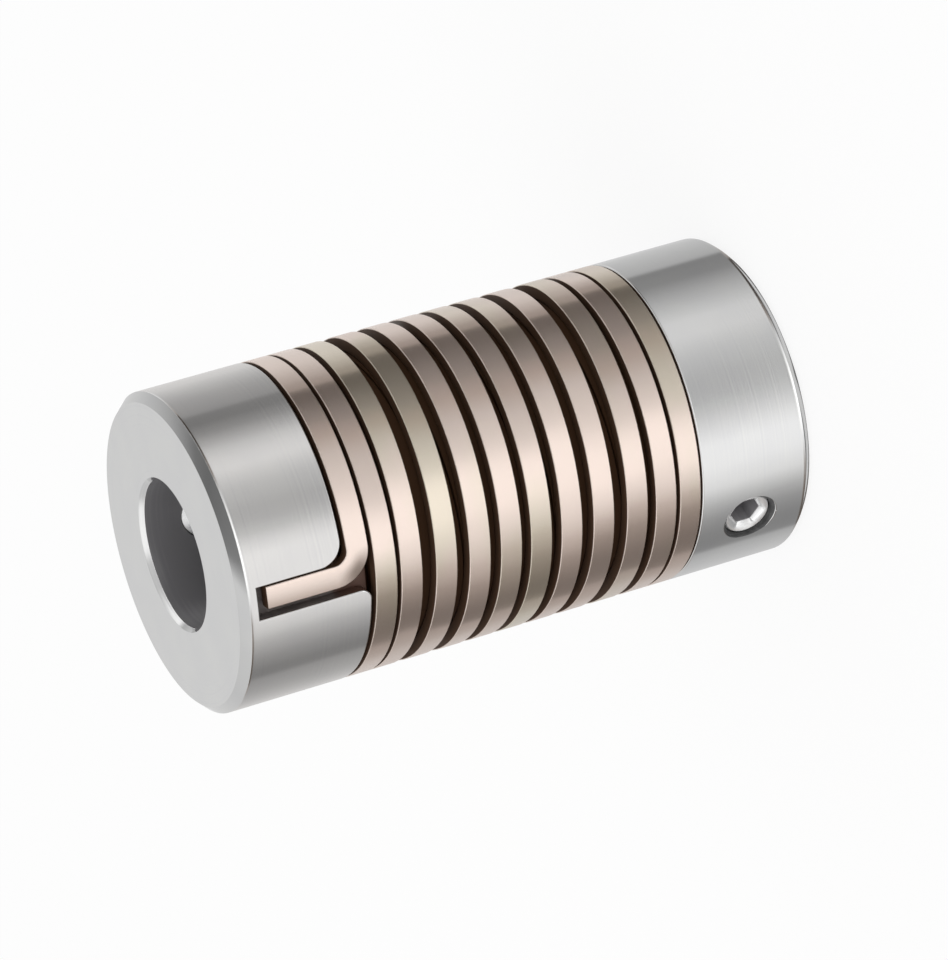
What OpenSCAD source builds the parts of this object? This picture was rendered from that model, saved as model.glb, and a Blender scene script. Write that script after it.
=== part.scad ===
// Wound spring shaft coupling: two equal hubs joined by three layers of flat wire springs.
// The axis is +Z and the origin is the centre of the lower end face. Sizes are in millimetres.

/* [Coupling] */
// Outside diameter of the hubs and of the outer spring
outer_d = 26; // [25:0.5:32]
// Length over both hubs
overall_l = 50; // [47:1:64]
// Diameter of the shaft bore in each hub
bore_d = 12; // [6:0.5:12.5]

/* [Hubs] */
// Length of the collar where its helical shoulder is lowest
collar_l = 8.85; // [8.6:0.05:10]
// Length of the hub's spigot beyond the lowest point of the shoulder
spigot_l = 6.65; // [4:0.05:9]
// Chamfer round the end face
end_chamfer = 0.7; // [0.3:0.1:1.2]
// Chamfer at both mouths of the bore
bore_chamfer = 0.3; // [0.1:0.1:0.6]
// Chamfer round the free end of the spigot
spigot_chamfer = 0.4; // [0.2:0.1:0.8]

/* [Springs] */
// Width of the flat wire, measured along the coupling
wire_w = 1.85; // [1.6:0.05:2]
// Thickness of the flat wire, measured towards the axis
wire_t = 1.05; // [0.85:0.05:1.15]
// Clearance between one spring and the next, and between the inner spring and the spigot
layer_gap = 0.1; // [0.08:0.01:0.16]
// Gap between the closed turns at both ends of the outer spring
closed_gap = 0.32; // [0.2:0.02:0.4]
// Gap between the turns of the middle spring, which is wound close
middle_gap = 0.15; // [0.1:0.01:0.3]
// Gap between a shoulder and the last turn that lies along it
seat_gap = 0.35; // [0.2:0.05:0.5]
// Closed turns at each end of the outer spring
closed_turns = 2; // [1:1:3]
// Whole turns of the outer spring, before the last part turn to the lower slot
whole_turns = 11; // [9:1:11]
// How far the open turns have settled towards the middle of the coupling
settle = 0.25; // [0:0.05:0.3]

/* [Tangs and slots] */
// Angle from the slot of the upper hub on to the slot of the lower hub
slot_turn = 155; // [0:5:180]
// Width of the slot
slot_w = 2.7; // [2.5:0.05:3]
// Distance from the end face to the closed end of the slot
slot_end = 1.5; // [1.3:0.1:2.5]
// Clearance between a tang and the slot wall on the side of its spring
tang_gap = 0.1; // [0.05:0.05:0.2]
// Clearance between the end of a tang and the closed end of its slot
tang_end_gap = 0.75; // [0.3:0.05:1]
// Clearance between a tang and the floor of its slot
floor_gap = 0.2; // [0.15:0.05:0.4]
// Inside radius of the bend between a tang and its spring
bend_r = 1.1; // [0.9:0.1:1.5]
// Rounding of the slot's mouth on the side where the wire bends
mouth_r = 2; // [1.6:0.1:2.2]
// Rounding of the slot's mouth on the side of the shoulder's step
step_r = 0.9; // [0.5:0.1:1.2]

/* [Set screws] */
// Nominal diameter of the set screw
screw_d = 4; // [3:0.5:5]
// Clearance between the set screw and its hole
screw_gap = 0.04; // [0.02:0.01:0.08]
// Distance from the end face to the axis of the set screw
screw_z = 5.5; // [5:0.1:6]
// Depth of the set screw's head below the hub
screw_sink = 0.5; // [0.3:0.1:1]
// Distance from the bore back to the tip of the set screw
tip_inset = 0.5; // [0.2:0.1:0.8]
// Chamfer at the mouth of the set screw's hole
hole_chamfer = 0.35; // [0.2:0.05:0.5]
// Width across the flats of the hexagon socket
socket_w = 2; // [1.5:0.1:2.2]
// Depth of the hexagon socket
socket_h = 2.4; // [1.5:0.1:2.6]

/* [Hidden] */

hub_grey = [0.80, 0.79, 0.80];
wire_bronze = [0.80, 0.69, 0.61];
screw_grey = [0.52, 0.52, 0.53];

// The lower slot lies at this angle from +X, which shows the upper slot at the front.
lower_slot_at = 40;
// Half a turn about this level axis takes the lower half of the coupling to the upper half.
swap_axis_at = lower_slot_at - slot_turn / 2;

outer_r = outer_d / 2;
bore_r = bore_d / 2;
layer = wire_t + layer_gap;
spigot_r = outer_r - 3 * layer;
mid_z = overall_l / 2;

// Facets of round faces. A half turn of a shoulder or of the outer spring has the same number of
// sections, and the other springs have a number for each turn.
round_faces = 120;
small_faces = 48;
half_turn_sections = 24;
inner_sections = 32;
bend_sections = 8;
// Overshoot of a cut beyond the face that it opens.
over = 1;

// The shoulder is a helix that follows the closed turns of the outer spring.
closed_pitch = wire_w + closed_gap;
function shoulder(at) = collar_l + closed_pitch * (360 - max(at, 0)) / 360;

// Outer and inner springs: half their turns, and their height at the start above the middle.
half_turns = (whole_turns + slot_turn / 360) / 2;
half_reach = mid_z - collar_l - seat_gap - wire_w / 2;
open_turns = half_turns - closed_turns;
open_pitch = (half_reach - closed_turns * closed_pitch) / open_turns;

// Middle spring: it lies between the highest points of the two shoulders.
middle_reach = mid_z - shoulder(0) - seat_gap - wire_w / 2;
middle_half_turns = middle_reach / (wire_w + middle_gap);

// Height of the wire above the middle, a number of turns after the middle of the coupling.
function outer_height(turn) =
    abs(turn) > open_turns
        ? -sign(turn) * (half_reach - (half_turns - abs(turn)) * closed_pitch)
        : settle * sin(180 * turn / open_turns) - open_pitch * turn;
function middle_height(turn) = -middle_reach * turn / middle_half_turns;

// A section of wire is its place in turns, its height above the middle, and the lean of its
// width: 0 in an upright tang and 90 in a level turn.
function turns_of(length) = length / (2 * PI * outer_r);
function other_end(sections) =
    [for (i = [len(sections) - 1:-1:0]) [-sections[i][0], -sections[i][1], sections[i][2]]];

// A tang leans on the slot wall on the side of its spring. The other springs end level with it.
tang_turn = -half_turns + turns_of((slot_w - wire_w) / 2 - tang_gap);
bend_mid_r = bend_r + wire_w / 2;
bend_turn = tang_turn + turns_of(bend_mid_r);
bend_height = outer_height(bend_turn) + bend_mid_r;
tang_height = mid_z - slot_end - tang_end_gap;
upper_tang = concat(
    [[tang_turn, tang_height, 0]],
    [for (i = [0:bend_sections - 1])
        let (lean = 90 * i / bend_sections)
        [bend_turn - turns_of(bend_mid_r) * cos(lean), bend_height - bend_mid_r * sin(lean), lean]]);

function outer_turns(first, count) =
    [for (i = [0:count]) let (turn = first * (1 - 2 * i / count)) [turn, outer_height(turn), 90]];
function middle_turns(first, count) =
    [for (i = [0:count]) let (turn = first * (1 - 2 * i / count)) [turn, middle_height(turn), 90]];

// The four corners of a section. hand is 1 for a left-hand spring and -1 for a right-hand one.
function corner(section, r, side, hand) =
    let (across = -side * cos(section[2]) * 180 / (PI * r))
    let (at = swap_axis_at + 180 + hand * (360 * section[0] + across))
    [r * cos(at), r * sin(at), mid_z + section[1] - side * sin(section[2])];
function corners(section, r, hand) = [
    corner(section, r - wire_t, -wire_w / 2, hand),
    corner(section, r - wire_t, wire_w / 2, hand),
    corner(section, r, wire_w / 2, hand),
    corner(section, r, -wire_w / 2, hand)];

// Flat wire with its outside at radius r, swept through a list of sections.
module wire(sections, r, hand) {
    last = len(sections) - 1;
    points = [for (section = sections) each corners(section, r, hand)];
    walls = [for (i = [0:last - 1]) for (j = [0:3])
        let (a = 4 * i + j)
        let (b = 4 * i + (j + 1) % 4)
        each [[a, b, b + 4], [a, b + 4, a + 4]]];
    faces = concat([[3, 2, 1, 0]], walls, [[for (j = [0:3]) 4 * last + j]]);
    polyhedron(points, hand > 0 ? [for (face = faces) [for (i = [len(face) - 1:-1:0]) face[i]]] : faces);
}

// Everything above the shoulder between two angles, from inside the spigot to outside the collar.
module above_shoulder(from, to, count) {
    in_r = spigot_r - layer_gap - wire_t / 2;
    out_r = outer_r + over;
    top = shoulder(0) + over;
    angles = [for (i = [0:count]) from + (to - from) * i / count];
    points = [for (at = angles) each [
        [in_r * cos(at), in_r * sin(at), shoulder(at)],
        [out_r * cos(at), out_r * sin(at), shoulder(at)],
        [out_r * cos(at), out_r * sin(at), top],
        [in_r * cos(at), in_r * sin(at), top]]];
    walls = [for (i = [0:count - 1]) for (j = [0:3])
        let (a = 4 * i + j)
        let (b = 4 * i + (j + 1) % 4)
        each [[a, b, b + 4], [a, b + 4, a + 4]]];
    polyhedron(points, concat([[3, 2, 1, 0]], walls, [[for (j = [0:3]) 4 * count + j]]));
}

// Solid collar with its chamfered end face, cut down to the helical shoulder.
module collar() {
    tall = shoulder(0);
    difference() {
        rotate_extrude($fn = round_faces)
            polygon([[0, 0], [outer_r - end_chamfer, 0], [outer_r, end_chamfer], [outer_r, tall], [0, tall]]);
        above_shoulder(-180 / half_turn_sections, 180, half_turn_sections + 1);
        above_shoulder(180, 360, half_turn_sections);
    }
}

module spigot() {
    tip = collar_l + spigot_l;
    rotate_extrude($fn = round_faces)
        polygon([[0, end_chamfer], [spigot_r, end_chamfer], [spigot_r, tip - spigot_chamfer],
            [spigot_r - spigot_chamfer, tip], [0, tip]]);
}

// The bore with a chamfer at both mouths.
module bore() {
    tip = collar_l + spigot_l;
    wide_r = bore_r + bore_chamfer + over;
    rotate_extrude($fn = round_faces)
        polygon([[0, -over], [wide_r, -over], [bore_r, bore_chamfer], [bore_r, tip - bore_chamfer],
            [wide_r, tip + over], [0, tip + over]]);
}

// Outline of the slot, seen from outside with the end face below.
module slot_outline() {
    half_w = slot_w / 2;
    mouth_at = 360 - (half_w + mouth_r) * 180 / (PI * outer_r);
    step_at = (half_w + step_r) * 180 / (PI * outer_r);
    translate([-half_w, slot_end])
        square([slot_w, shoulder(0) + over - slot_end]);
    translate([-half_w - mouth_r, shoulder(mouth_at) - mouth_r])
        difference() {
            square([mouth_r + over / 2, mouth_r + over]);
            circle(r = mouth_r, $fn = small_faces);
        }
    translate([half_w + step_r, shoulder(step_at) - step_r])
        difference() {
            translate([-step_r - over / 2, 0])
                square([step_r + over / 2, step_r + over]);
            circle(r = step_r, $fn = small_faces);
        }
}

module slot() {
    floor_r = outer_r - wire_t - floor_gap;
    translate([floor_r, 0, 0])
        rotate([90, 0, 90])
            linear_extrude(height = outer_r + over - floor_r)
                slot_outline();
}

// The set screw's hole lies across the hub from the slot.
module screw_hole() {
    hole_r = screw_d / 2 + screw_gap;
    translate([0, 0, screw_z])
        rotate([0, -90, 0])
            rotate_extrude($fn = small_faces)
                polygon([[0, bore_r / 2], [hole_r, bore_r / 2], [hole_r, outer_r - hole_chamfer],
                    [hole_r + hole_chamfer + over, outer_r + over], [0, outer_r + over]]);
}

// Hub in the lower place, with its slot on +X.
module hub() {
    color(hub_grey)
        difference() {
            union() {
                collar();
                spigot();
            }
            bore();
            slot();
            screw_hole();
        }
}

// Set screw in the lower place, across the hub from the slot: hexagon socket outside, cup point inside.
module set_screw() {
    head = outer_r - screw_sink;
    tip = bore_r + tip_inset;
    shank_r = screw_d / 2;
    point_r = shank_r / 2;
    edge = screw_d / 16;
    color(screw_grey)
        translate([0, 0, screw_z])
            rotate([0, -90, 0])
                difference() {
                    rotate_extrude($fn = small_faces)
                        polygon([[0, tip + point_r / 2], [point_r, tip], [shank_r, tip + shank_r - point_r],
                            [shank_r, head - edge], [shank_r - edge, head], [0, head]]);
                    translate([0, 0, head - socket_h])
                        cylinder(d = socket_w / cos(30), h = socket_h + over, $fn = 6);
                }
}

module lower_place() {
    rotate([0, 0, lower_slot_at])
        children();
}

module upper_place() {
    translate([0, 0, overall_l])
        rotate([0, 0, swap_axis_at])
            rotate([180, 0, 0])
                rotate([0, 0, lower_slot_at - swap_axis_at])
                    children();
}

module bottom_hub() {
    lower_place() hub();
}

module top_hub() {
    upper_place() hub();
}

module bottom_set_screw() {
    lower_place() set_screw();
}

module top_set_screw() {
    upper_place() set_screw();
}

module outer_spring() {
    turns = outer_turns(bend_turn, ceil(-4 * bend_turn * half_turn_sections));
    color(wire_bronze)
        wire(concat(upper_tang, turns, other_end(upper_tang)), outer_r, 1);
}

module middle_spring() {
    count = ceil(2 * middle_half_turns * inner_sections);
    color(wire_bronze)
        wire(middle_turns(-middle_half_turns, count), outer_r - layer, -1);
}

module inner_spring() {
    count = ceil(-2 * tang_turn * inner_sections);
    color(wire_bronze)
        wire(outer_turns(tang_turn, count), outer_r - 2 * layer, 1);
}

bottom_hub();
top_hub();
outer_spring();
middle_spring();
inner_spring();
bottom_set_screw();
top_set_screw();
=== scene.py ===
"""Look of a wound spring shaft coupling: two plated hubs and three layers of flat bronze-toned wire."""
import logging
from dataclasses import dataclass
from enum import Enum
from math import asin, ceil, cos, pi, radians, sin, tan
from typing import Any, Sequence, Union

import bmesh
import bpy
from bmesh.types import BMesh, BMVert
from bpy.types import ID, Material, Node, NodeSocket, NodeTree, Object
from mathutils import Matrix, Vector


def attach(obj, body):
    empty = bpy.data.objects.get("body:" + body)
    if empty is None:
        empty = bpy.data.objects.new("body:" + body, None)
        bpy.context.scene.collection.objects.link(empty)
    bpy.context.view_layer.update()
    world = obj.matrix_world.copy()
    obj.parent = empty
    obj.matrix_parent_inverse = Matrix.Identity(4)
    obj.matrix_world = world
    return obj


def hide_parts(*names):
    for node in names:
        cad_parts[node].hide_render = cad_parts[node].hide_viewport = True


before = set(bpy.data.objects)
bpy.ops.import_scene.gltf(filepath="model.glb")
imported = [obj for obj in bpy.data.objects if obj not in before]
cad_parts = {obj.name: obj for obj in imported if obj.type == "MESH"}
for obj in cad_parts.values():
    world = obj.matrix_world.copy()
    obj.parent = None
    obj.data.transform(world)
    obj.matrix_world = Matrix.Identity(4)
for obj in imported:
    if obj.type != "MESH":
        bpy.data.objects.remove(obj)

LOG = logging.getLogger("coupling")
MM = 0.001
TAU = 2 * pi
PHOTO_HEIGHT = 960
Colour = tuple[float, float, float]
Stops = tuple[tuple[float, float], ...]
Profile = list[tuple[float, float]]
Ring = list[BMVert]
Value = Union[float, "Num"]

# Sizes that the pieces share, in millimetres, as in the part's source.
OUTER_R = 13.0
OVERALL_L = 50.0
BORE_R = 6.0
WIRE_W = 1.85
WIRE_T = 1.05
LAYER = WIRE_T + 0.1
COLLAR_L = 8.85
CLOSED_PITCH = WIRE_W + 0.32
SLOT_W = 2.7
SLOT_END = 1.5
LOWER_SLOT_AT = 40.0
SLOT_TURN = 155.0
SWAP_AXIS_AT = LOWER_SLOT_AT - SLOT_TURN / 2
SCREW_Z = 5.5
SCREW_PLACE = Matrix.Translation((0, 0, SCREW_Z)) @ Matrix.Rotation(-pi / 2, 4, "Y")


class End(Enum):
    """The two equal ends of the coupling."""

    BOTTOM = "bottom"
    TOP = "top"

    def place(self) -> Matrix:
        """Give the turn and shift from a hub's own frame to this end, in metres."""
        if self is End.BOTTOM:
            return Matrix.Rotation(radians(LOWER_SLOT_AT), 4, "Z")
        swap = Matrix.Rotation(radians(SWAP_AXIS_AT), 4, "Z") @ Matrix.Rotation(pi, 4, "X")
        turn = Matrix.Rotation(radians(LOWER_SLOT_AT - SWAP_AXIS_AT), 4, "Z")
        return Matrix.Translation((0, 0, OVERALL_L * MM)) @ swap @ turn


class Hand(Enum):
    """Which way a spring is wound: the value is the sign of its turn."""

    LEFT = 1
    RIGHT = -1


class Num:
    """A socket of a node tree on which Python's operators add Math nodes."""

    def __init__(self, graph: "Graph", socket: NodeSocket) -> None:
        """Wrap an output socket of a tree."""
        self.graph = graph
        self.socket = socket

    def math(self, operation: str, *others: Value) -> "Num":
        """Add one Math node with this value first."""
        values = dict(enumerate((self, *others)))
        return self.graph.num("ShaderNodeMath", {"operation": operation}, values)

    def __add__(self, other: Value) -> "Num":
        """Add."""
        return self.math("ADD", other)

    __radd__ = __add__

    def __sub__(self, other: Value) -> "Num":
        """Subtract."""
        return self.math("SUBTRACT", other)

    def __rsub__(self, other: float) -> "Num":
        """Subtract this value from a number."""
        return self.graph.num("ShaderNodeMath", {"operation": "SUBTRACT"}, {0: other, 1: self})

    def __mul__(self, other: Value) -> "Num":
        """Multiply."""
        return self.math("MULTIPLY", other)

    __rmul__ = __mul__

    def __truediv__(self, other: Value) -> "Num":
        """Divide."""
        return self.math("DIVIDE", other)

    def __neg__(self) -> "Num":
        """Turn the sign."""
        return self.math("MULTIPLY", -1.0)

    def __abs__(self) -> "Num":
        """Drop the sign."""
        return self.math("ABSOLUTE")

    def least(self, other: Value) -> "Num":
        """Give the smaller of two values."""
        return self.math("MINIMUM", other)

    def most(self, other: Value) -> "Num":
        """Give the larger of two values."""
        return self.math("MAXIMUM", other)

    def step(self, low: float, high: float) -> "Num":
        """Rise smoothly from 0 at low to 1 at high."""
        values = {0: self, 1: low, 2: high, 3: 0.0, 4: 1.0}
        return self.graph.num("ShaderNodeMapRange", {"interpolation_type": "SMOOTHSTEP"}, values)


class Graph:
    """A node tree that is built by short calls."""

    def __init__(self, tree: NodeTree) -> None:
        """Start from a tree, whose nodes are removed."""
        self.tree = tree
        tree.nodes.clear()

    def add(self, kind: str, settings: dict[str, Any] | None = None,
            values: dict[int | str, Any] | None = None) -> Node:
        """Add any node.

        Args:
            kind: the node's type.
            settings: properties that are set first; "stops" are a ramp's places and colours.
            values: numbers, colours or links by socket number or name.

        Returns:
            The new node.
        """
        node = self.tree.nodes.new(kind)
        for name, value in (settings or {}).items():
            if name == "stops":
                self.set_stops(node, value)
            else:
                setattr(node, name, value)
        for key, value in (values or {}).items():
            if isinstance(value, Num):
                self.tree.links.new(value.socket, node.inputs[key])
            else:
                node.inputs[key].default_value = value
        return node

    @staticmethod
    def set_stops(node: Node, stops: Sequence[tuple[float, Sequence[float]]]) -> None:
        """Give a ramp its stops.

        Args:
            node: the ramp's node.
            stops: places from 0 to 1 with their colours.
        """
        elements = node.color_ramp.elements
        while len(elements) > 1:
            elements.remove(elements[-1])
        elements[0].position = stops[0][0]
        elements[0].color = (*stops[0][1], 1.0)
        for place, colour in stops[1:]:
            elements.new(place).color = (*colour, 1.0)

    def num(self, kind: str, settings: dict[str, Any] | None = None,
            values: dict[int | str, Any] | None = None, output: int | str = 0) -> Num:
        """Add any node and give one of its outputs, with the arguments of add."""
        return Num(self, self.add(kind, settings, values).outputs[output])

    def noise(self, place: Num, scale: float, detail: float = 2.0, dimensions: str = "3D") -> Num:
        """Give noise from 0 to 1 by a vector, or by a number in one dimension, in metres."""
        values = {"W" if dimensions == "1D" else "Vector": place, "Scale": scale, "Detail": detail}
        return self.num("ShaderNodeTexNoise", {"noise_dimensions": dimensions}, values)

    def bump(self, height: Num, strength: float, distance: float = 0.00002) -> Num:
        """Give the normal of a surface whose height varies."""
        values = {"Strength": strength, "Distance": distance, "Height": height}
        return self.num("ShaderNodeBump", None, values)

    def split(self, vector: Num) -> tuple[Num, Num, Num]:
        """Give the three parts of a vector."""
        node = self.add("ShaderNodeSeparateXYZ", None, {0: vector})
        return tuple(Num(self, node.outputs[i]) for i in range(3))

    def join(self, x: Value, y: Value, z: Value) -> Num:
        """Give the vector of three parts."""
        return self.num("ShaderNodeCombineXYZ", None, {0: x, 1: y, 2: z})

    def blend(self, mask: Num, low: Any, high: Any) -> Num:
        """Mix two colours: 0 in the mask gives the first and 1 the second."""
        first, second = ((*c, 1.0) if isinstance(c, tuple) else c for c in (low, high))
        return self.num("ShaderNodeMix", {"data_type": "RGBA"}, {0: mask, 6: first, 7: second}, 2)


@dataclass(frozen=True)
class Finish:
    """What all finishes share: how their material is made and closed."""

    name: str

    def paint(self, graph: Graph, place: Num) -> dict[str, Any]:
        """Give the shader's inputs.

        Args:
            graph: the material's tree.
            place: the place on the piece, in metres.

        Returns:
            Numbers and links by the name of the shader's input.
        """
        raise NotImplementedError

    def material(self) -> Material:
        """Make the material."""
        material = bpy.data.materials.new(self.name)
        material.use_nodes = True
        graph = Graph(material.node_tree)
        place = graph.num("ShaderNodeTexCoord", None, None, "Object")
        shader = graph.num("ShaderNodeBsdfPrincipled", None, self.paint(graph, place))
        graph.add("ShaderNodeOutputMaterial", None, {0: shader})
        return material


@dataclass(frozen=True)
class HubPlate(Finish):
    """Bright plating on turned steel, with fine lines round the axis."""

    name: str = "hub_plate"
    colour: Colour = (0.82, 0.82, 0.81)
    shade: Colour = (0.78, 0.78, 0.785)
    roughness: float = 0.115
    lines: float = 5200.0

    def paint(self, graph: Graph, place: Num) -> dict[str, Any]:
        """Give the shader's inputs."""
        x, y, z = graph.split(place)
        cut = graph.noise((x * x + y * y).math("SQRT") + z, self.lines, 2.0, "1D")
        cloud = graph.noise(place, 300.0)
        stain = graph.noise(place, 90.0)
        colour = graph.blend((0.55 * cloud + 0.45 * cut).step(0.25, 0.75), self.shade, self.colour)
        rough = self.roughness + 0.03 * (cut - 0.5) + 0.03 * (stain - 0.5)
        return {"Base Color": colour, "Roughness": rough, "Metallic": 1.0,
                "Normal": graph.bump(cut, 0.10, 0.00001)}


@dataclass(frozen=True)
class MilledSteel(Finish):
    """Dull milled steel of the slot, the shoulder and the spigot; its dark colour is partly the steel's own
    and partly painted shade of these recesses, and it turns browner with painted shade beside the springs.
    """

    name: str = "milled_steel"
    # Partly painted shade: the dark colour stands in for shade in the slot and at the shoulder.
    colour: Colour = (0.23, 0.20, 0.19)
    shade: Colour = (0.15, 0.13, 0.125)
    # Painted shade beside the springs.
    spring_shade: Colour = (0.13, 0.07, 0.05)
    roughness: float = 0.5

    def paint(self, graph: Graph, place: Num) -> dict[str, Any]:
        """Give the shader's inputs."""
        x, y, z = graph.split(place)
        cloud = graph.noise(place, 700.0)
        marks = graph.noise(graph.join(x, y, z * 0.15), 4200.0)
        toned = graph.blend((0.5 * cloud + 0.5 * marks).step(0.35, 0.65), self.shade, self.colour)
        # Painted shade: brown near the coupling's middle, where the springs lie over the milled faces.
        from_middle = abs(z - OVERALL_L / 2 * MM)
        shade_by_springs = (from_middle + 1.2 * MM * (cloud - 0.5)).step(17.2 * MM, 16.2 * MM)
        colour = graph.blend(shade_by_springs, toned, self.spring_shade)
        rough = self.roughness + 0.12 * (cloud - 0.5)
        return {"Base Color": colour, "Roughness": rough, "Metallic": 0.25,
                "Normal": graph.bump(marks, 0.2)}


@dataclass(frozen=True)
class BoreWall(Finish):
    """Reamed wall of the bore, a dull even grey."""

    name: str = "bore_wall"
    colour: Colour = (0.40, 0.39, 0.40)
    shade: Colour = (0.25, 0.245, 0.255)
    roughness: float = 0.45

    def paint(self, graph: Graph, place: Num) -> dict[str, Any]:
        """Give the shader's inputs."""
        _, _, z = graph.split(place)
        rings = graph.noise(z, 3000.0, 2.0, "1D")
        cloud = graph.noise(place, 110.0, 1.0)
        colour = graph.blend((0.1 * rings + 0.9 * cloud).step(0.38, 0.60), self.shade, self.colour)
        rough = self.roughness + 0.08 * (cloud - 0.5)
        return {"Base Color": colour, "Roughness": rough, "Metallic": 0.35,
                "Normal": graph.bump(rings, 0.01)}


@dataclass(frozen=True)
class SpringWire(Finish):
    """Bronze-toned flat wire in a tone that drifts from turn to turn, drawn along its length; its sides and a
    tang's outer bend carry painted shade.
    """

    name: str = "spring_wire"
    pink: Colour = (0.90, 0.765, 0.69)
    beige: Colour = (0.84, 0.757, 0.635)
    dark: Colour = (0.74, 0.61, 0.54)
    # Painted shade: the colour of the sides and rounded edges, which face the gaps between turns.
    edge: Colour = (0.095, 0.052, 0.030)
    # Painted shade on the outer side of a tang's bend, where its tilted face looks darker.
    bend_shade: Colour = (0.26, 0.205, 0.17)
    bend_at: float = -9.0
    roughness: float = 0.235
    gloss: float = 1.0
    specular: float = 0.15

    def paint(self, graph: Graph, place: Num) -> dict[str, Any]:
        """Give the shader's inputs, by the wire's own run and section."""
        stored = [graph.num("ShaderNodeAttribute", {"attribute_name": name}, None, "Vector")
                  for name in ("path", "profile")]
        along, _, _ = graph.split(stored[0])
        through, across, _ = graph.split(stored[1])
        grain = graph.noise(graph.join(along * 0.006, across, through), 9000.0, 3.0)
        streak = graph.noise(graph.join(along * 0.03, across, through), 1800.0)
        drift = graph.noise(along + 0.31, 26.0, 2.0, "1D")
        patch = graph.noise(graph.join(along * 0.35, across, through), 320.0)
        tint = graph.blend((0.75 * drift + 0.25 * patch).step(0.50, 0.64), self.pink, self.beige)
        shade = (0.5 * grain + 0.5 * streak).step(0.62, 0.30) * 0.05
        face = through.step(WIRE_T * MM * 0.41, WIRE_T * MM * 0.46)
        # Painted shade on the outer side of the tang's bend.
        near_bend = abs(abs(along) - self.bend_at * MM).step(1.6 * MM, 0.1 * MM)
        outer_side = (across * along.math("SIGN")).step(0.6 * MM, -0.5 * MM)
        shaded = graph.blend(shade, tint, self.dark)
        bend_shaded = graph.blend(near_bend * outer_side * 0.85, shaded, self.bend_shade)
        # Off the outer face, the sides and rounded edges take the painted shade of the gaps between turns.
        colour = graph.blend(face, self.edge, bend_shaded)
        rough = self.roughness + 0.02 * (grain - 0.5) + 0.20 * (1.0 - face)
        waves = graph.noise(along, 40.0, 1.0, "1D")
        height = 0.0003 * grain + 0.0002 * streak + 2.2 * waves
        metallic = self.gloss - (self.gloss - 0.35) * (1.0 - face) if self.gloss > 0.35 else self.gloss
        return {"Base Color": colour, "Roughness": rough, "Metallic": metallic,
                "Specular IOR Level": self.specular, "Anisotropic": 1.0, "Anisotropic Rotation": 0.25,
                "Normal": graph.bump(height, 1.0, 0.001)}


@dataclass(frozen=True)
class ScrewSteel(Finish):
    """Plain bright steel of the set screws, faintly clouded."""

    name: str = "screw_steel"
    colour: Colour = (0.92,) * 3
    shade: Colour = (0.80,) * 3
    roughness: float = 0.16
    gloss: float = 0.55

    def paint(self, graph: Graph, place: Num) -> dict[str, Any]:
        """Give the shader's inputs."""
        fine = graph.noise(place, 5200.0, 3.0)
        cloud = graph.noise(place, 900.0)
        colour = graph.blend((0.6 * cloud + 0.4 * fine).step(0.36, 0.62), self.shade, self.colour)
        rough = self.roughness + 0.10 * (cloud - 0.5)
        return {"Base Color": colour, "Roughness": rough, "Metallic": self.gloss,
                "Normal": graph.bump(fine, 0.1)}


def round_corners(corners: Sequence[tuple[float, float, float]], steps: int = 3) -> Profile:
    """Round the corners of an open line.

    Args:
        corners: places with the radius of their rounding.
        steps: segments in each rounding.

    Returns:
        The rounded line.
    """
    line: Profile = []
    for i, (a, b, radius) in enumerate(corners):
        here = Vector((a, b))
        if radius <= 0 or i in (0, len(corners) - 1):
            line.append((a, b))
            continue
        back = (Vector(corners[i - 1][:2]) - here).normalized()
        ahead = (Vector(corners[i + 1][:2]) - here).normalized()
        half = back.angle(ahead) / 2
        reach = radius / tan(half)
        centre = here + (back + ahead).normalized() * (radius / sin(half))
        first = here + back * reach - centre
        sweep = first.angle_signed(here + ahead * reach - centre)
        line += [tuple(centre + Matrix.Rotation(-sweep * k / steps, 2) @ first) for k in range(steps + 1)]
    return line


def add_object(name: str, data: ID | None) -> Object:
    """Make an object at the origin, and link it to the scene."""
    made = bpy.data.objects.new(name, data)
    bpy.context.scene.collection.objects.link(made)
    return made


def make_object(name: str, bm: BMesh, smooth: bool = True) -> Object:
    """Turn a mesh in progress, in millimetres, into an object in metres.

    Args:
        name: the object's name.
        bm: the mesh, which is freed.
        smooth: whether its faces are shaded smooth.

    Returns:
        The object, linked to the scene.
    """
    bmesh.ops.scale(bm, vec=(MM, MM, MM), verts=bm.verts)
    for face in bm.faces:
        face.smooth = smooth
    mesh = bpy.data.meshes.new(name)
    bm.to_mesh(mesh)
    bm.free()
    return add_object(name, mesh)


def settle_mesh(piece: Object) -> None:
    """Replace a piece's mesh by the result of its modifiers, and remove them."""
    graph = bpy.context.evaluated_depsgraph_get()
    graph.update()
    settled = piece.evaluated_get(graph)
    mesh = bpy.data.meshes.new_from_object(settled, preserve_all_data_layers=True, depsgraph=graph)
    piece.modifiers.clear()
    mesh.name = piece.name
    piece.data = mesh


def weigh_normals(piece: Object) -> None:
    """Weigh the shading's normals by face, and keep steep edges sharp."""
    piece.data.set_sharp_from_angle(angle=radians(50))
    modifier = piece.modifiers.new("weighted", "WEIGHTED_NORMAL")
    modifier.weight = 80
    modifier.keep_sharp = True
    settle_mesh(piece)


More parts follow.
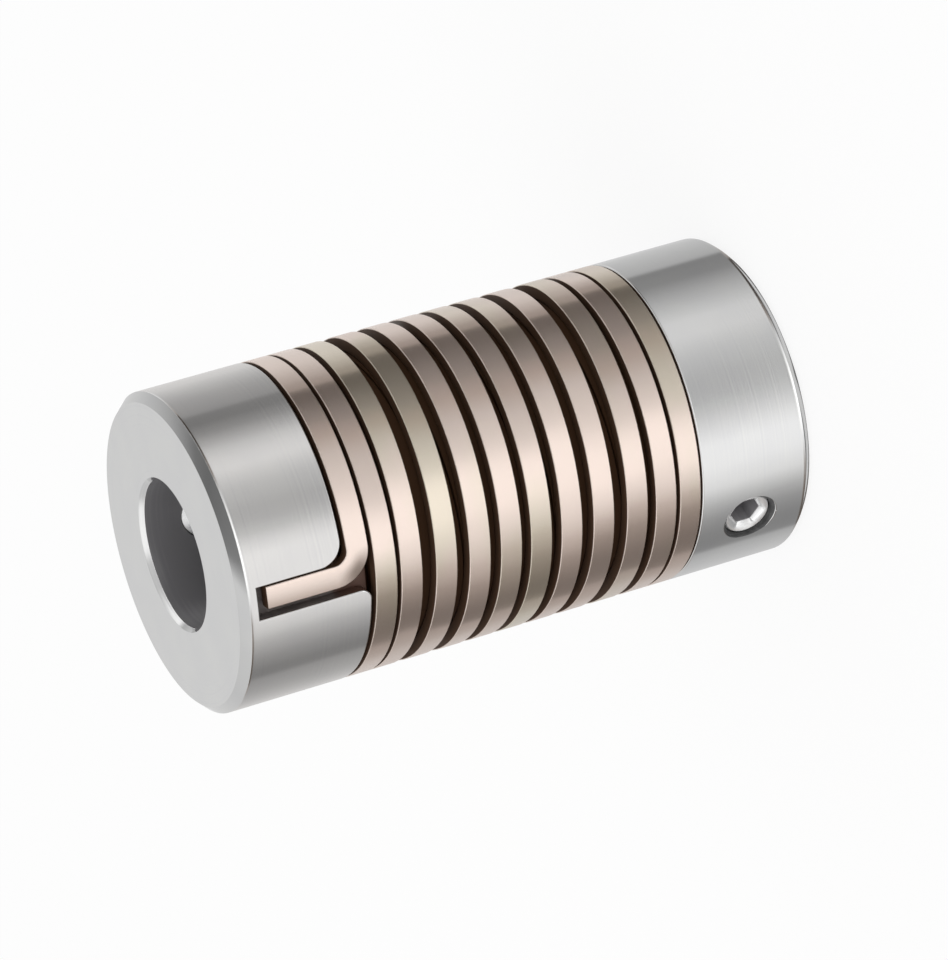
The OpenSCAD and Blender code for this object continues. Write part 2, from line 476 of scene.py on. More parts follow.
@dataclass
class Spring:
    """One layer of flat wire, wound by a Geometry Nodes tree."""

    name: str
    node: str
    outside_r: float
    hand: Hand
    half_turns: float
    half_reach: float
    closed_turns: float = 0.0
    closed_pitch: float = 0.0
    settle: float = 0.0
    start_turn: float = 0.0
    tang_length: float = 0.0
    bend_mid_r: float = 0.0
    end_sections: int = 0
    turn_sections: int = 96
    edge_r: float = 0.09

    def winding_tree(self) -> NodeTree:
        """Build the tree that lays the wire out flat, gives it its section and rolls it up.

        Returns:
            The tree, with named inputs for its sizes.
        """
        tree = bpy.data.node_groups.new("flat_wire_winding", "GeometryNodeTree")
        graph = Graph(tree)
        kinds = {"Geometry": "Geometry", "Finish": "Material"}
        kinds |= {name: "Int" if isinstance(size, int) else "Float" for name, size in self.inputs().items()}
        for name, kind in kinds.items():
            tree.interface.new_socket(name, in_out="INPUT", socket_type="NodeSocket" + kind)
        tree.interface.new_socket("Geometry", in_out="OUTPUT", socket_type="NodeSocketGeometry")
        given = graph.add("NodeGroupInput")
        get = {s.name: Num(graph, s) for s in given.outputs if s.name}

        # Distance along the wire from the nearer end, for the section with this number.
        outside, ends, half = (get[name] for name in ("Outside Radius", "End Sections", "Half Sections"))
        count = 2.0 * half + 1.0
        from_middle = graph.num("GeometryNodeInputIndex") - half
        side = -from_middle.math("SIGN")
        number = half - abs(from_middle)
        distance = number.least(ends) * get["End Step"] + (number - ends).most(0.0) * get["Turn Step"]
        half_length = ends * get["End Step"] + (half - ends) * get["Turn Step"]

        # The wire laid out flat: an upright tang, a bend, and level turns.
        bend = get["Bend Radius"]
        after_tang = (distance - get["Tang Length"]).most(0.0)
        lean = (after_tang / bend).least(pi / 2)
        run = (after_tang - bend * (pi / 2)).most(0.0) + get["Bend Start"]
        turn = run / (outside * TAU)
        open_turns = get["Open Turns"]
        open_part = turn.most(-1.0 * open_turns)
        closed_part = (-turn - open_turns).most(0.0)
        sag = (open_part / open_turns * pi).math("SINE") * get["Settle"]
        height = sag - get["Open Pitch"] * open_part + closed_part * get["Closed Pitch"]
        rise = (get["Tang Length"] - distance).most(0.0) + bend * (1.0 - lean.math("SINE"))
        flat_x = (run - bend * lean.math("COSINE")) * side
        flat_z = (height + rise) * side
        flat = graph.join(flat_x, get["Wire Thickness"] * -0.5, flat_z)

        def geo(kind: str, values: dict[str, Any] | None = None, **settings: str) -> Num:
            """Add a node of geometry."""
            return graph.num("GeometryNode" + kind, settings, values)

        own_place = geo("InputPosition")
        stored = {"data_type": "FLOAT_VECTOR", "domain": "POINT"}
        path = geo("ResampleCurve", {"Curve": geo("CurvePrimitiveLine"), "Count": count})
        path = geo("SetPosition", {"Geometry": path, "Position": flat})
        wire_run = graph.join((half_length - distance) * side, flat_x, 0.0)
        path = geo("StoreNamedAttribute", {"Geometry": path, "Name": "path", "Value": wire_run}, **stored)
        path = geo("SetCurveNormal", {"Curve": path, "Normal": (0.0, 1.0, 0.0)}, mode="FREE")
        sizes = {"Width": get["Wire Thickness"], "Height": get["Wire Width"]}
        rim = {"Curve": geo("CurvePrimitiveQuadrilateral", sizes), "Count": 3, "Radius": get["Edge Radius"]}
        kept = {"Geometry": geo("FilletCurve", rim, mode="POLY"), "Name": "profile", "Value": own_place}
        section = geo("StoreNamedAttribute", kept, **stored)
        wire = geo("CurveToMesh", {"Curve": path, "Profile Curve": section, "Fill Caps": True})

        # The flat wire is rolled round the axis; a tang keeps its width at every radius.
        x, y, z = graph.split(own_place)
        _, path_x, _ = graph.split(geo("InputNamedAttribute", {"Name": "path"}, data_type="FLOAT_VECTOR"))
        radius = outside + y
        angle = get["Start Angle"] + get["Hand"] * (path_x / outside + (x - path_x) / radius)
        level = z + get["Middle Height"]
        rolled = graph.join(radius * angle.math("COSINE"), radius * angle.math("SINE"), level)
        wire = geo("SetPosition", {"Geometry": wire, "Position": rolled})
        wire = geo("FlipFaces", {"Mesh": wire, "Selection": get["Hand"].math("GREATER_THAN", 0.0)})
        wire = geo("SetShadeSmooth", {"Geometry": wire, "Shade Smooth": True}, domain="FACE")
        wire = geo("RealizeInstances", {"Geometry": wire})
        wire = geo("SetMaterial", {"Geometry": wire, "Material": get["Finish"]})
        graph.add("NodeGroupOutput", None, {0: wire})
        return tree

    def bend_centre(self) -> float:
        """Give the length of wire from the spring's middle to the middle of a tang's bend."""
        return self.bend_mid_r * (pi / 4 - 1) - self.start_turn * TAU * self.outside_r

    def inputs(self) -> dict[str, float | int]:
        """Give the winding tree's inputs: lengths in metres, the angle in radians, and numbers.

        Returns:
            The values by the name of the input.
        """
        girth = TAU * self.outside_r
        bend_start = self.start_turn * girth + self.bend_mid_r
        open_turns = self.half_turns - self.closed_turns
        open_pitch = (self.half_reach - self.closed_turns * self.closed_pitch) / open_turns
        half_sections = self.end_sections + ceil(-bend_start / girth * self.turn_sections)
        turn_step = -bend_start / (half_sections - self.end_sections)
        sizes = {
            "Outside Radius": self.outside_r, "Wire Width": WIRE_W, "Wire Thickness": WIRE_T,
            "Edge Radius": self.edge_r, "Middle Height": OVERALL_L / 2, "Open Pitch": open_pitch,
            "Closed Pitch": self.closed_pitch, "Settle": self.settle, "Bend Start": bend_start,
            "Tang Length": self.tang_length, "Bend Radius": max(self.bend_mid_r, 0.001),
            "End Step": (self.tang_length + self.bend_mid_r * pi / 2) / max(self.end_sections, 1),
            "Turn Step": turn_step}
        return {name: size * MM for name, size in sizes.items()} | {
            "Open Turns": open_turns, "Hand": float(self.hand.value),
            "Start Angle": radians(SWAP_AXIS_AT + 180), "End Sections": self.end_sections,
            "Half Sections": half_sections}

    def build(self, tree: NodeTree, material: Material) -> Object:
        """Wind the spring.

        Args:
            tree: the winding tree.
            material: the wire's finish.

        Returns:
            The finished piece.
        """
        inputs = self.inputs() | {"Finish": material}
        piece = add_object(self.name, bpy.data.meshes.new(self.name))
        modifier = piece.modifiers.new("winding", "NODES")
        modifier.node_group = tree
        for item in tree.interface.items_tree:
            if item.in_out == "INPUT" and item.name in inputs:
                modifier[item.identifier] = inputs[item.name]
        settle_mesh(piece)
        weigh_normals(piece)
        return piece


@dataclass
class PlatedHub:
    """A hub with its helical shoulder, slot, spigot, bore and set screw hole, in its own frame."""

    end: End
    collar: float = COLLAR_L
    bow: float = 0.0
    spigot_r: float = OUTER_R - 3 * LAYER
    tip_z: float = COLLAR_L + 6.65
    floor_r: float = OUTER_R - WIRE_T - 0.2
    mouth_r: float = 2.0
    step_r: float = 0.9
    edge: float = 0.14
    end_chamfer: float = 0.7
    hole_r: float = 2.04
    hole_chamfer: float = 0.35
    lip_w: float = 0.27
    lip_h: float = 0.39
    sides: int = 120
    skin_start: float = 0.95
    spigot_top: float = 14.9
    edge_steps: int = 3
    skin_tag: int = 1
    floor_tag: int = 2
    bore_tag: int = 3
    milled_tag: int = 4
    hole_tag: int = 5
    girth: float = TAU * OUTER_R

    def shoulder(self, x: float) -> float:
        """Give the shoulder's height at a distance round the hub from the slot."""
        turn = x / self.girth
        return self.collar + CLOSED_PITCH * (1 - turn if turn >= 0 else -turn)

    def top_line(self) -> Profile:
        """Give the upper edge of the skin from seam to seam: ramp, flare, slot, rounded step, ramp."""
        half_w = SLOT_W / 2
        mouth_x = -half_w - self.mouth_r
        mouth_z = self.shoulder(mouth_x) - self.mouth_r
        step_x = half_w + self.step_r
        step_z = self.shoulder(step_x) - self.step_r
        steps = 12
        quarter = [pi / 2 * k / steps for k in range(steps + 1)]
        start, stop = -0.75 * self.girth, 0.25 * self.girth
        line = [(start, self.shoulder(start))]
        line += [(mouth_x + self.mouth_r * sin(t), mouth_z + self.mouth_r * cos(t)) for t in quarter]
        line += [(-half_w, SLOT_END), (0.0, SLOT_END), (half_w, SLOT_END)]
        line += [(step_x - self.step_r * cos(t), step_z + self.step_r * sin(t)) for t in quarter]
        line.append((stop, self.shoulder(stop)))
        return line

    @staticmethod
    def inset(line: Profile, distance: float) -> Profile:
        """Move an open line towards the skin's material, and its end points straight down.

        Args:
            line: the line, with the material below and beside it.
            distance: how far it moves.

        Returns:
            The moved line.
        """
        moved = [(line[0][0], line[0][1] - distance)]
        for before, here, after in zip(line, line[1:], line[2:]):
            first = Vector((here[0] - before[0], here[1] - before[1])).normalized()
            second = Vector((after[0] - here[0], after[1] - here[1])).normalized()
            normals = [Vector((v.y, -v.x)) for v in (first, second)]
            miter = normals[0] + normals[1]
            miter *= distance / (1 + normals[0].dot(normals[1]))
            moved.append((here[0] + miter.x, here[1] + miter.y))
        moved.append((line[-1][0], line[-1][1] - distance))
        return moved

    def flat_vert(self, bm: BMesh, x: float, z: float, depth: float) -> BMVert:
        """Add a point of the flat plate, so that the slot's walls stay parallel when it is rolled.

        Args:
            bm: the mesh.
            x: distance round the hub from the slot, at the outside.
            z: height.
            depth: distance below the outside.

        Returns:
            The point.
        """
        across = x
        if abs(x) < self.girth / 8:
            across = OUTER_R * asin(min(1.0, OUTER_R * sin(x / OUTER_R) / (OUTER_R - depth)))
        return bm.verts.new((across, depth, z))

    def plate(self) -> BMesh:
        """Build everything of the collar that lies outside the bore as a flat plate.

        Returns:
            The plate with x round the hub, y as the depth and z as the height.
        """
        bm = bmesh.new()
        line = self.top_line()
        rows = []
        for k in range(self.edge_steps + 1):
            slope = pi / 2 * k / self.edge_steps
            moved = self.inset(line, self.edge * (1 - sin(slope)))
            depth = self.edge * (1 - cos(slope))
            rows.append([self.flat_vert(bm, x, z, depth) for x, z in moved])
        floor = OUTER_R - self.floor_r
        rows.append([self.flat_vert(bm, x, z, floor) for x, z in line])
        for upper, lower in zip(rows, rows[1:]):
            for corners in zip(upper, upper[1:], lower[1:], lower):
                bm.faces.new(corners).material_index = self.milled_tag if lower is rows[-1] else 0
        middle = line.index((0.0, SLOT_END))
        first, last, split = (bm.verts.new((x, 0, self.skin_start)) for x in (line[0][0], line[-1][0], 0.0))
        for corners in ([first, split] + rows[0][middle::-1], [split, last] + rows[0][:middle - 1:-1]):
            bm.faces.new(corners).material_index = self.skin_tag
        # Floor of the slot, and the shoulder behind it with its upright step.
        low = self.flat_vert(bm, 0.0, self.shoulder(-1e-9), floor)
        high = self.flat_vert(bm, 0.0, self.shoulder(0.0), floor)
        base = rows[-1]
        for corners in (base[1:middle + 1] + [low], base[middle:-1] + [high, low]):
            bm.faces.new(corners).material_index = self.floor_tag
        near = [base[0], base[1], low, high, base[-2], base[-1]]
        deep = OUTER_R - self.spigot_r
        across = [line[0][0], line[1][0], 0.0, 0.0, line[-2][0], line[-1][0]]
        far = [bm.verts.new((x, deep, v.co.z)) for x, v in zip(across, near)]
        tops = [bm.verts.new((x, deep, self.spigot_top)) for x in (line[-1][0], 0.0, line[0][0])]
        for corners in [*zip(near, near[1:], far[1:], far), far[:4] + tops[1:], far[3:] + tops[:2]]:
            bm.faces.new(corners).material_index = self.milled_tag
        step = self.girth / self.sides
        for k in range(1, self.sides):
            geom = bm.verts[:] + bm.edges[:] + bm.faces[:]
            plane = (line[0][0] + k * step, 0, 0)
            bmesh.ops.bisect_plane(bm, geom=geom, dist=1e-5, plane_co=plane, plane_no=(1, 0, 0))
        return bm

    def roll(self, bm: BMesh) -> None:
        """Roll the plate round the axis, with the slot's floor kept plane."""
        on_floor = {v for f in bm.faces if f.material_index == self.floor_tag for v in f.verts}
        for vert in bm.verts:
            angle = vert.co.x / OUTER_R
            radius = self.floor_r / cos(angle) if vert in on_floor else OUTER_R - vert.co.y
            vert.co = (radius * cos(angle), radius * sin(angle), vert.co.z)

    def lathe_ends(self, bm: BMesh) -> None:
        """Add the chamfered end face, the bore and the spigot's tip to the rolled plate."""
        corners = [
            (OUTER_R, self.skin_start, 0), (OUTER_R, self.end_chamfer, 0.035),
            (OUTER_R - (0.5 - self.bow) * self.end_chamfer, (0.5 - self.bow / 2) * self.end_chamfer, 0),
            (OUTER_R - self.end_chamfer, 0, 0.05), (BORE_R + self.lip_w, 0, 0.015),
            (BORE_R, self.lip_h, 0.05), (BORE_R, self.tip_z - 0.3, 0.06), (BORE_R + 0.3, self.tip_z, 0.06),
            (self.spigot_r - 0.4, self.tip_z, 0.08), (self.spigot_r, self.tip_z - 0.4, 0.08),
            (self.spigot_r, self.spigot_top, 0)]
        rings = [ring(bm, r, z, self.sides, -1.5 * pi) for r, z in round_corners(corners)]
        for upper, lower in zip(rings, rings[1:]):
            tag = self.bore_tag if abs(upper[0].co.z - lower[0].co.z) > self.tip_z / 2 else 0
            for corners in zip(upper, upper[1:] + upper[:1], lower[1:] + lower[:1], lower):
                bm.faces.new(corners).material_index = tag
        bmesh.ops.remove_doubles(bm, verts=bm.verts, dist=1e-4)
        bmesh.ops.dissolve_degenerate(bm, edges=bm.edges, dist=1e-5)
        bmesh.ops.recalc_face_normals(bm, faces=bm.faces)

    def hole_cutter(self) -> Object:
        """Make the round cutter of the set screw's hole, with its chamfered mouth.

        Returns:
            The cutter.
        """
        over, lip, sides = 1.0, 0.1, 96
        wide_r = self.hole_r + self.hole_chamfer
        line = [(0, BORE_R / 2), (self.hole_r, BORE_R / 2), (self.hole_r, OUTER_R - self.hole_chamfer),
                (wide_r - lip, OUTER_R - lip), (wide_r + over, OUTER_R + over), (0, OUTER_R + over)]
        bm = bmesh.new()
        close_rings(bm, [ring(bm, r, z, sides) for r, z in line])
        for face in bm.faces:
            face.material_index = self.hole_tag if face.calc_center_median().z < OUTER_R - lip else 0
        bmesh.ops.transform(bm, matrix=SCREW_PLACE, verts=bm.verts)
        return make_object("hole_cutter", bm, smooth=False)

    def round_normals(self, piece: Object) -> None:
        """Shade the skin, the bore and its mouth as true cylinders and cone, and clear the faces' tags."""
        mesh = piece.data
        normals = [Vector(n.vector) for n in mesh.corner_normals]
        slots = {self.floor_tag: 1, self.milled_tag: 1, self.bore_tag: 2, self.hole_tag: 3}
        lip_r = (BORE_R + self.lip_w + 0.03) * MM
        for face in mesh.polygons:
            lean, rise = {self.skin_tag: 1.0, self.bore_tag: -1.0}.get(face.material_index, 0.0), 0.0
            if not lean and face.center.xy.length < lip_r and 0.1 * MM < face.center.z < 0.3 * MM:
                lean, rise = -face.normal.xy.length, face.normal.z
            for loop in face.loop_indices if lean else ():
                out = mesh.vertices[mesh.loops[loop].vertex_index].co.xy.normalized()
                normals[loop] = Vector((lean * out.x, lean * out.y, rise))
            face.material_index = slots.get(face.material_index, 0)
        mesh.normals_split_custom_set([tuple(n) for n in normals])

    def build(self, finishes: Sequence[Material]) -> Object:
        """Build the hub in its place.

        Args:
            finishes: that of the outside, of the milled faces, of the bore and of the screw's hole.

        Returns:
            The finished piece.
        """
        plate, milled, bore, hole = finishes
        bm = self.plate()
        self.roll(bm)
        self.lathe_ends(bm)
        piece = make_object(f"{self.end.value}_plated_hub", bm)
        for material in (plate, plate, milled, bore, milled, hole):
            piece.data.materials.append(material)
        cutter = self.hole_cutter()
        for material in piece.data.materials:
            cutter.data.materials.append(material)
        modifier = piece.modifiers.new("hole", "BOOLEAN")
        modifier.object = cutter
        modifier.solver = "EXACT"
        settle_mesh(piece)
        bpy.data.objects.remove(cutter)
        weigh_normals(piece)
        self.round_normals(piece)
        while len(piece.data.materials) > len(finishes):
            piece.data.materials.pop()
        for slot, material in enumerate(finishes):
            piece.data.materials[slot] = material
        piece.data.transform(self.end.place())
        return piece


def ring(bm: BMesh, r: float, z: float, sides: int, start: float = 0.0, hexagon: bool = False) -> Ring:
    """Add a ring of points round Z, or one point on the axis that stands for them all.

    Args:
        bm: the mesh.
        r: radius, or half the width across the flats.
        z: height.
        sides: number of points.
        start: angle of the first.
        hexagon: whether the points lie on a hexagon.

    Returns:
        The points.
    """
    if r == 0:
        return [bm.verts.new((0, 0, z))] * sides
    made = []
    for angle in (start + TAU * k / sides for k in range(sides)):
        reach = r / cos(pi / 6 - abs((angle + pi / 6) % (pi / 3) - pi / 6)) if hexagon else r
        made.append(bm.verts.new((reach * cos(angle), reach * sin(angle), z)))
    return made


def close_rings(bm: BMesh, rings: list[Ring]) -> None:
    """Join rings of points by faces, and turn the faces outwards.

    Args:
        bm: the mesh.
        rings: rings of equal length.
    """
    for lower, upper in zip(rings, rings[1:]):
        for around in zip(lower, lower[1:] + lower[:1], upper[1:] + upper[:1], upper):
            corners = list(dict.fromkeys(around))
            if len(corners) > 2:
                bm.faces.new(corners)
    bmesh.ops.recalc_face_normals(bm, faces=bm.faces)


@dataclass
class SetScrew:
    """A headless set screw with a countersunk hexagon socket outside and a cup point inside."""

    end: End
    shank_r: float = 2.0
    head: float = OUTER_R - 0.5
    tip: float = BORE_R - 0.5
    cone: float = 0.5
    cup_r: float = 1.0
    cup_h: float = 0.5
    socket_w: float = 2.2
    socket_h: float = 2.4
    sides: int = 48

    def build(self, finishes: Sequence[Material]) -> Object:
        """Build the screw in its place.

        Args:
            finishes: that of the screw, of the inside of its socket and of its cup point.

        Returns:
            The finished piece.
        """
        bm = bmesh.new()
        shank = [(0, self.tip + self.cup_h, 0), (self.cup_r, self.tip, 0.05),
                 (self.shank_r, self.tip + self.cone, 0.1), (self.shank_r, self.head - 0.2, 0.08),
                 (self.shank_r - 0.15, self.head, 0.05), (self.shank_r - 0.25, self.head, 0)]
        rings = [ring(bm, r, z, self.sides) for r, z in round_corners(shank)]
        depth = self.head - self.socket_h
        for grow, z in ((0.03, self.head - 0.40), (0.0, self.head - 0.46), (0.0, depth + 0.25)):
            rings.append(ring(bm, self.socket_w / 2 + grow, z, self.sides, hexagon=True))
        rings.append(ring(bm, 0, depth, self.sides))
        close_rings(bm, rings)
        for face in bm.faces:
            middle = face.calc_center_median()
            inside = depth - 0.01 < middle.z < self.head - 0.45 and middle.xy.length < self.socket_w * 0.6
            face.material_index = 1 if inside else 2 if middle.z < self.tip + self.cup_h else 0
        bmesh.ops.transform(bm, matrix=SCREW_PLACE, verts=bm.verts)
        piece = make_object(f"{self.end.value}_socket_screw", bm)
        for material in finishes:
            piece.data.materials.append(material)
        weigh_normals(piece)
        piece.data.transform(self.end.place())
        return piece


def ray_kinds(graph: Graph) -> list[Num]:
    """Give the masks of the rays of the camera, of gloss and of glass."""
    path = graph.add("ShaderNodeLightPath")
    return [Num(graph, path.outputs[f"Is {kind} Ray"]) for kind in ("Camera", "Glossy", "Transmission")]


@dataclass
class Studio:
    """Pale floor, soft light and surroundings that the metal shows."""

    floor_half: float = 3.0
    ambient: float = 0.85
    warmth: float = 0.45
    window: float = 1.1
    level_view: float = 0.927
    paper_white: float = 0.86
    # How steeply the camera's rays reach either hub, and leave its upright wall.
    top_level: float = 0.335
    bottom_level: float = 0.415
    # Brightness of the surroundings by twice the angle, from the camera's side, of the wall that
    # shows them: of either hub and of the wire; last, what slopes show, by the angle itself.
    top_stops: Stops = (
        (-168, 0.64), (-152, 0.54), (-136, 0.43), (-119, 0.35), (-115, 0.25), (-108, 0.25), (-96, 0.34),
        (-88, 0.44), (-80, 0.55), (-72, 0.73), (-56, 0.93), (-40, 0.9), (-28, 0.9), (-16, 0.94), (-8, 0.8),
        (0, 0.57), (8, 0.46), (16, 0.45), (32, 0.59), (48, 0.85), (56, 0.8), (64, 0.67), (72, 0.47),
        (80, 0.31), (90, 0.22), (99, 0.24), (101, 0.34), (120, 0.42), (152, 0.7), (168, 0.72))
    bottom_stops: Stops = (
        (-168, 0.62), (-152, 0.6), (-136, 0.54), (-126, 0.47), (-122, 0.28), (-112, 0.27), (-104, 0.28),
        (-96, 0.32), (-88, 0.38), (-80, 0.49), (-72, 0.67), (-64, 0.88), (-48, 1.02), (-40, 1.03),
        (-32, 1.02), (-24, 0.89), (-16, 0.73), (-8, 0.58), (0, 0.48), (8, 0.47), (16, 0.49), (32, 0.62),
        (48, 0.8), (60, 0.8), (72, 0.63), (88, 0.42), (98, 0.29), (114, 0.24), (117, 0.48), (136, 0.56),
        (152, 0.62), (168, 0.72))
    wire_stops: Stops = (
        (-168, 0.9), (-152, 0.77), (-136, 0.41), (-124, 0.31), (-121, 0.13), (-104, 0.11), (-96, 0.14),
        (-80, 0.2), (-64, 0.43), (-48, 0.92), (-32, 1.35), (-20, 1.46), (-8, 1.5), (0, 1.4), (8, 1.16),
        (16, 1.0), (32, 0.69), (48, 0.29), (64, 0.06), (80, 0.04), (104, 0.06), (106, 0.38), (120, 0.52),
        (136, 0.9), (152, 1.29), (168, 1.46))
    upper_stops: Stops = (
        (-176, 0.72), (-160, 0.68), (-139, 0.63), (-110, 0.66), (-91, 0.7), (-60, 0.71), (-46, 0.46),
        (-28, 0.24), (0, 0.21), (39, 0.18), (69, 0.16), (91, 0.19), (110, 0.33), (125, 0.46), (139, 0.56),
        (152, 0.64), (176, 0.72))

    def ramp(self, graph: Graph, place: Num, stops: Stops) -> Num:
        """Add a ramp over the angle round the coupling.

        Args:
            graph: the world's tree.
            place: the angle in turns, with 0.5 on the camera's side.
            stops: angles in degrees and brightness.

        Returns:
            The brightness as a colour.
        """
        warm = self.warmth if stops is self.wire_stops else 0.0
        cream = 0.02 if stops is self.top_stops else 0.0
        scaled = []
        for angle, value in stops:
            loss = warm * max(0.0, 0.6 - value) + cream
            scaled.append(((angle + 180) / 360, (value, value * (1 - loss), value * (1 - 1.7 * loss))))
        return graph.num("ShaderNodeValToRGB", {"stops": scaled}, {0: place})

    def build_world(self) -> None:
        """Make the surroundings: white for the camera, and bright and dark panels for gloss."""
        world = bpy.data.worlds.new("studio")
        world.use_nodes = True
        bpy.context.scene.world = world
        graph = Graph(world.node_tree)
        x, y, z = graph.split(graph.num("ShaderNodeTexCoord", None, None, "Generated"))
        around = x.math("ARCTAN2", -y) / TAU + 0.5
        facing = x.math("ARCTAN2", self.level_view - y) / pi + 0.5
        ramps = [self.ramp(graph, place, stops)
                 for place, stops in ((facing, self.wire_stops), (facing, self.top_stops),
                                      (facing, self.bottom_stops), (around, self.upper_stops))]
        walls = ramps[0]
        for level, ramp in ((self.top_level, ramps[1]), (self.bottom_level, ramps[2])):
            walls = graph.blend(abs(z + level).step(0.045, 0.035), walls, ramp)
        aside = abs(around - 0.5)
        # Above the walls' rays, and a little lower on the far side, what slopes show.
        high = z.step(0.02, 0.12).most(z.step(-0.28, -0.20) * aside.step(0.36, 0.40))
        seen = graph.blend(high, walls, ramps[3])
        # Dark below, with a pale rim on the far side.
        under = ((-z).step(0.56, 0.64) * aside.step(0.30, 0.38)).most((-z).step(0.68, 0.76))
        far_rim = (1.725 - 5.25 * aside - z).step(-0.02, 0.02) * aside.step(0.41, 0.43)
        low = graph.blend(far_rim, (0.12,) * 3, (0.66,) * 3)
        seen = graph.blend(under, seen, low)
        # A bright bow for the bore's mouth, and under it a brighter spot for the screw's tip.
        above = z + 4.07 * aside * aside - 0.74
        band = abs(above).step(0.10, 0.07) * around.step(0.18, 0.26) * around.step(0.86, 0.82)
        mouth = band * (1.0 - 0.5 * around.step(0.42, 0.52) * around.step(0.78, 0.62))
        seen = graph.blend(mouth, seen, (self.window,) * 3)
        point = abs(above + 0.22).step(0.13, 0.10) * aside.step(0.26, 0.20)
        seen = graph.blend(point, seen, (1.4 * self.window,) * 3)
        camera, gloss, glass = ray_kinds(graph)
        colour = graph.blend(gloss.most(glass), (self.ambient,) * 3, seen)
        colour = graph.blend(camera, colour, (1.0,) * 3)
        back = graph.num("ShaderNodeBackground", None, {0: colour, 1: 1.0})
        graph.add("ShaderNodeOutputWorld", None, {0: back})

    def build_floor(self) -> None:
        """Make the white floor, which keeps a soft shadow and lets gloss rays see the surroundings."""
        bm = bmesh.new()
        bmesh.ops.create_circle(bm, cap_ends=True, segments=96, radius=self.floor_half / MM)
        floor = make_object("floor", bm, smooth=False)
        material = bpy.data.materials.new("white_floor")
        material.use_nodes = True
        graph = Graph(material.node_tree)
        camera, gloss, glass = ray_kinds(graph)
        paper = graph.noise(graph.num("ShaderNodeTexCoord", None, None, "Object"), 900.0)
        colour = graph.blend(paper, (0.90,) * 3, (0.93,) * 3)
        diffuse = graph.num("ShaderNodeBsdfDiffuse", None, {0: colour})
        white = graph.num("ShaderNodeEmission", None, {0: (1.0,) * 4, 1: 1.0})
        lit = graph.num("ShaderNodeMixShader", None, {0: camera * self.paper_white, 1: diffuse, 2: white})
        shown = {0: gloss.most(glass), 1: lit, 2: graph.num("ShaderNodeBsdfTransparent")}
        graph.add("ShaderNodeOutputMaterial", None, {0: graph.num("ShaderNodeMixShader", None, shown)})
        floor.data.materials.append(material)

    def build_lamp(self) -> None:
        """Hang one large soft lamp, which gives the floor its shadow."""
        data = bpy.data.lights.new("soft_lamp", "AREA")
        data.shape = "DISK"
        data.size = 0.5
        data.energy = 1.2
        lamp = add_object("soft_lamp", data)
        lamp.visible_glossy = False
        place = Vector((-0.35, -0.25, 0.75))
        lamp.matrix_world = Matrix.Translation(place) @ place.to_track_quat("Z", "Y").to_matrix().to_4x4()


@dataclass
class Viewpoint:
    """The camera at the photograph's viewing angle."""

    elevation: float = radians(22.02)
    roll: float = radians(-106.18)
    distance: float = 0.4799
    focal_px: float = 6049.0
    # The coupling's middle in pixels right of and above the picture's middle.
    aim_px: tuple[float, float] = (-15.7, 7.9)

    def build(self) -> None:
        """Set up the camera, so that the aim falls on its pixel of the frame."""
        back = Vector((0, -cos(self.elevation), sin(self.elevation)))
        right = Vector((1, 0, 0))
        up = back.cross(right)
        turned_right = cos(self.roll) * right + sin(self.roll) * up
        turned_up = cos(self.roll) * up - sin(self.roll) * right
        axes = Matrix((turned_right, turned_up, -back))
        to_aim = Vector((*self.aim_px, self.focal_px)).normalized()
        axes = Vector((0, 0, 1)).rotation_difference(to_aim).to_matrix() @ axes
        data = bpy.data.cameras.new("camera")
        data.lens = self.focal_px * data.sensor_width / PHOTO_HEIGHT
        data.clip_start = 0.01
        data.clip_end = 50.0
        camera = add_object("camera", data)
        columns = Matrix((axes[0], axes[1], -axes[2])).transposed()
        aim = Vector((0, 0, OVERALL_L / 2 * MM))
        camera.matrix_world = Matrix.Translation(aim + back * self.distance) @ columns.to_4x4()
        bpy.context.scene.camera = camera


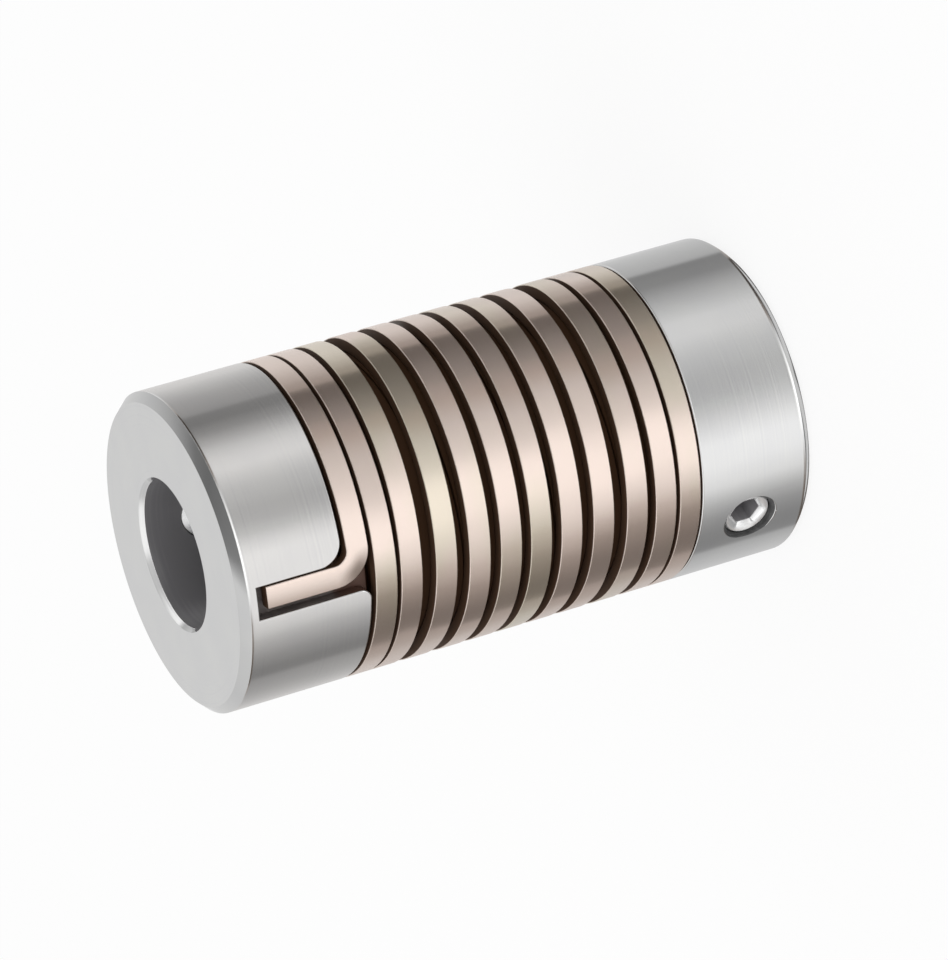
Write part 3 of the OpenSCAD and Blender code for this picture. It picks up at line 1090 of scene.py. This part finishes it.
def springs() -> list[Spring]:
    """Give the three layers of springs, with the fits of the part's source.

    Returns:
        Outer, middle and inner spring.
    """
    seat_gap = 0.35
    half_turns = (11 + SLOT_TURN / 360) / 2
    half_reach = OVERALL_L / 2 - COLLAR_L - seat_gap - WIRE_W / 2
    girth = TAU * OUTER_R
    tang_turn = -half_turns + ((SLOT_W - WIRE_W) / 2 - 0.1) / girth
    bend_mid_r = 1.1 + WIRE_W / 2
    bend_turn = tang_turn + bend_mid_r / girth
    bend_height = half_reach - (half_turns + bend_turn) * CLOSED_PITCH + bend_mid_r
    tang_height = OVERALL_L / 2 - SLOT_END - 0.75
    middle_reach = half_reach - CLOSED_PITCH
    middle_half_turns = middle_reach / (WIRE_W + 0.15)
    wound = {"half_turns": half_turns, "half_reach": half_reach, "closed_turns": 2.0,
             "closed_pitch": CLOSED_PITCH, "settle": 0.25}
    return [
        Spring("outer_wire", "outer_spring", OUTER_R, Hand.LEFT, start_turn=tang_turn,
               tang_length=tang_height - bend_height, bend_mid_r=bend_mid_r, end_sections=40, **wound),
        Spring("middle_wire", "middle_spring", OUTER_R - LAYER, Hand.RIGHT, middle_half_turns, middle_reach,
               start_turn=-middle_half_turns),
        Spring("inner_wire", "inner_spring", OUTER_R - 2 * LAYER, Hand.LEFT, start_turn=tang_turn, **wound)]


def dress(piece: Object, node: str) -> None:
    """Let a piece ride on the coupling and stand for its CAD node.

    Args:
        piece: the finished piece.
        node: the CAD node that it replaces.
    """
    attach(piece, "root")
    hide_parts(node)
    LOG.info("%s: %d faces, stands for %s", piece.name, len(piece.data.polygons), node)


def main() -> None:
    """Build and dress the coupling, then the studio and the camera."""
    logging.basicConfig(level=logging.INFO, format="%(message)s")
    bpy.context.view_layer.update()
    layers = springs()
    tree = layers[0].winding_tree()
    bright = SpringWire(bend_at=layers[0].bend_centre()).material()
    # Painted shade: the middle and inner springs, seen only in the gaps, are coloured near black-brown.
    dull = SpringWire("hidden_wire_painted_shade", (0.054, 0.027, 0.014), (0.052, 0.027, 0.014), (0.049, 0.025, 0.012),
                      (0.056, 0.026, 0.012), roughness=0.6, gloss=0.0, specular=0.05).material()
    for spring in layers:
        dress(spring.build(tree, bright if spring.tang_length else dull), spring.node)
    plate, milled, bore, steel = (kind().material() for kind in (HubPlate, MilledSteel, BoreWall, ScrewSteel))
    # Painted shade: the set screw hole's wall and chamfer are coloured near black.
    hole = MilledSteel("hole_painted_shade", (0.11,) * 3, (0.07,) * 3).material()
    point = ScrewSteel("screw_point", (0.96,) * 3, (0.90,) * 3, 0.30, 0.4).material()
    # The lower hub, at the photograph's far end, has a higher shoulder and a bowed chamfer.
    lift, bowed = 0.2, 0.04
    for end, collar, bow in ((End.BOTTOM, COLLAR_L + lift, bowed), (End.TOP, COLLAR_L, 0.0)):
        dress(PlatedHub(end, collar, bow).build((plate, milled, bore, hole)), f"{end.value}_hub")
        dress(SetScrew(end).build((steel, bore, point)), f"{end.value}_set_screw")
    studio = Studio()
    studio.build_world()
    studio.build_floor()
    studio.build_lamp()
    Viewpoint().build()
    bpy.context.scene.view_settings.view_transform = "Standard"


if __name__ == "__main__":
    main()
